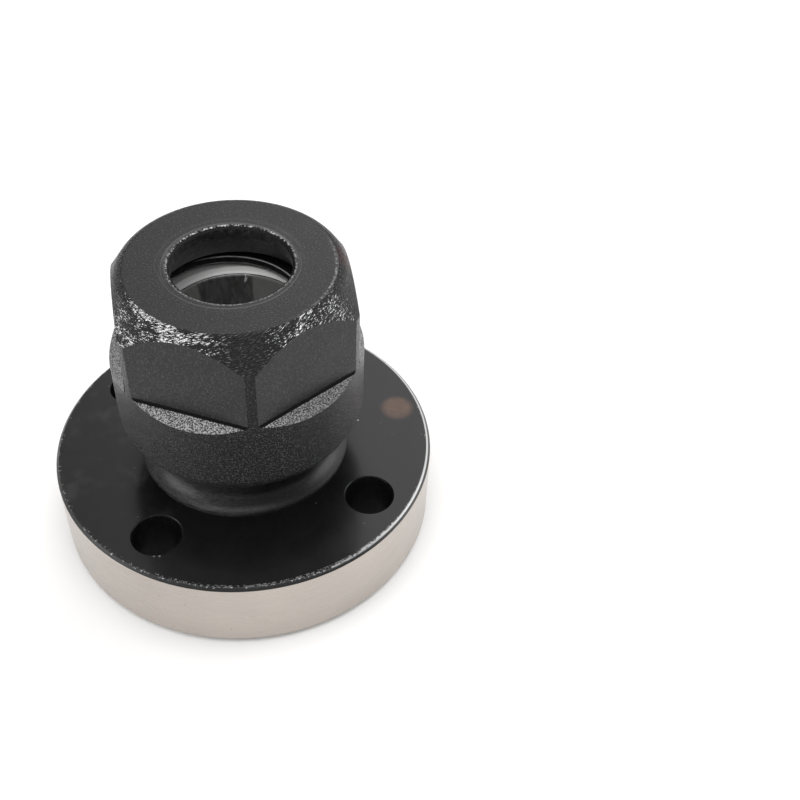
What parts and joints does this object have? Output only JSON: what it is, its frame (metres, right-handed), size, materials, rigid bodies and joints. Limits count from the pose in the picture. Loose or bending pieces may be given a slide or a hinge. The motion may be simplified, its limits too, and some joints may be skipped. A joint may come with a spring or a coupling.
{
  "type": "collet chuck holder",
  "caption": "Flange-mounted collet chuck: turned steel body with a tapered collet pocket, closed by a hexagonal clamping nut on a threaded nose.",
  "frame": {"origin": "centre of the flange's back face, on the turning axis", "axes": "+Z along the turning axis, from the flange towards the clamping nut; the four screw holes lie at 45 degrees to +X and +Y"},
  "size_m": [0.044, 0.044, 0.036],
  "materials": {
    "ground_steel": "ground rim and back, black oxide face, neck, nose and bores",
    "black_oxide": "satin black oxide over milled and turned steel"
  },
  "bodies": {
    "chuck": {"chuck_body": "ground_steel"},
    "nut": {"clamping_nut": "black_oxide"}
  },
  "joints": [
    {"name": "nut_travel", "type": "slide", "parent": "chuck", "child": "nut", "axis": [0, 0, 1], "range_m": [0, 0.016]}
  ]
}
